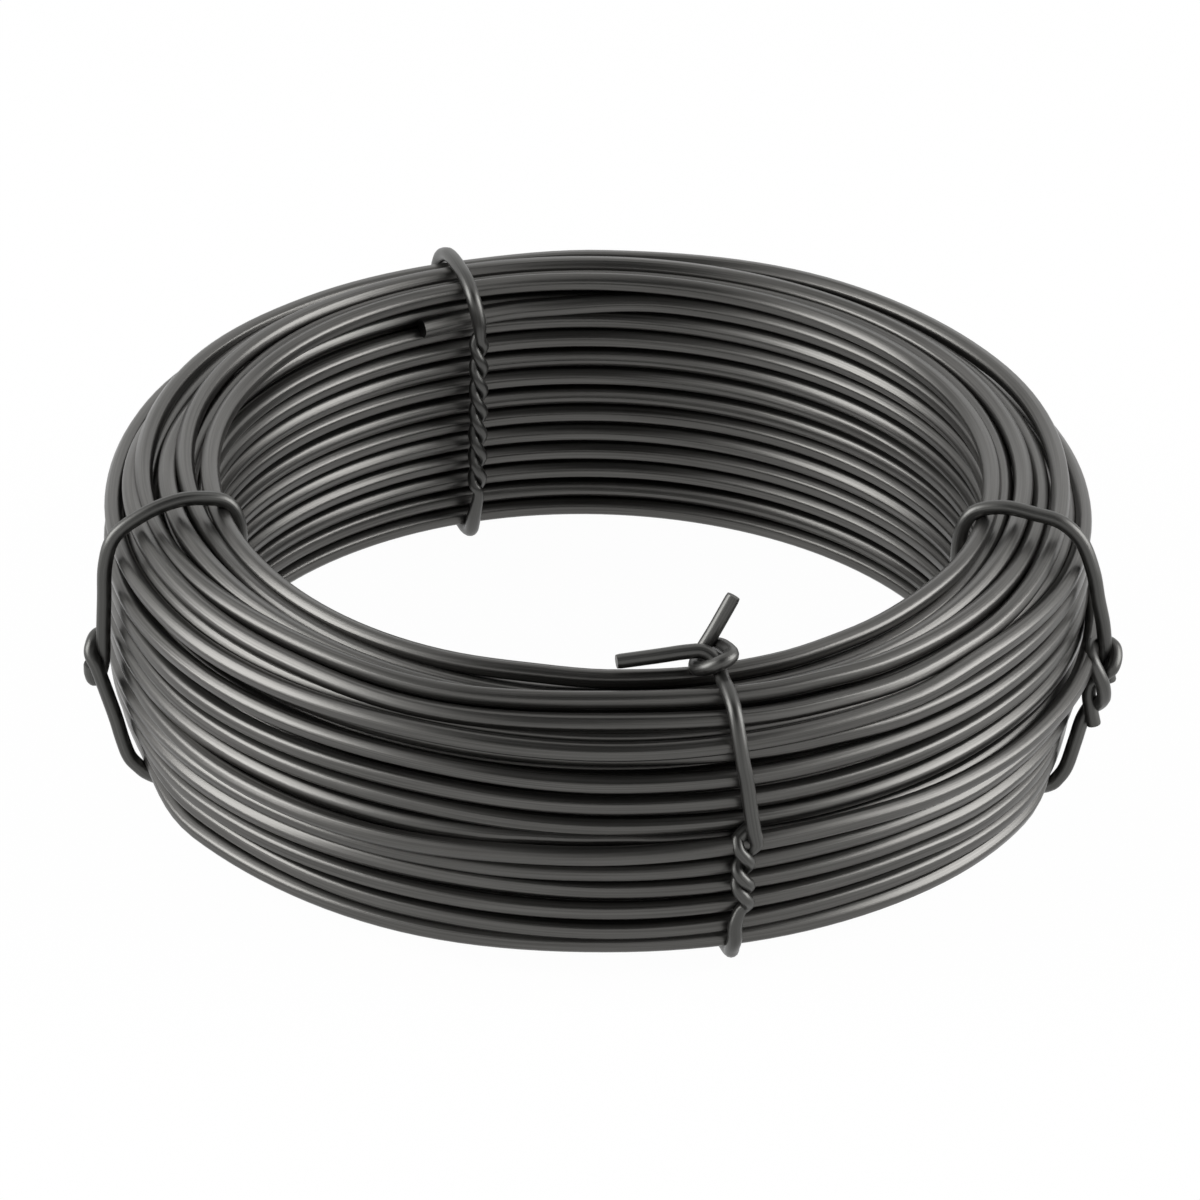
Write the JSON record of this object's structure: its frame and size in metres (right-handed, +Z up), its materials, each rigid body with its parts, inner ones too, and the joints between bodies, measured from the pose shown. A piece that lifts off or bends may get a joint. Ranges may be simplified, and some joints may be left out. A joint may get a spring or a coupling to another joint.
{
  "type": "coil of binding wire",
  "caption": "Coil of dark annealed steel binding wire with an open bore, held together by twisted wire ties.",
  "frame": {"origin": "on the floor in the middle of the coil's bore, on the coil's own axis", "axes": "+Z up along the coil's axis, -Y towards the front tie and its knot, +X to the right of it"},
  "size_m": [0.1682, 0.1616, 0.0575],
  "materials": {
    "coil_wire": "dark annealed and lightly oiled, with drawing marks along the wire",
    "tie_wire": "dark annealed, soft sheen"
  },
  "bodies": {
    "root": {"coil": "coil_wire", "first_turn": "coil_wire", "last_turn": "coil_wire", "left_tie": "tie_wire", "back_tie": "tie_wire", "right_tie": "tie_wire", "front_tie_outer_wire": "tie_wire", "front_tie_inner_wire": "tie_wire"}
  },
  "joints": []
}
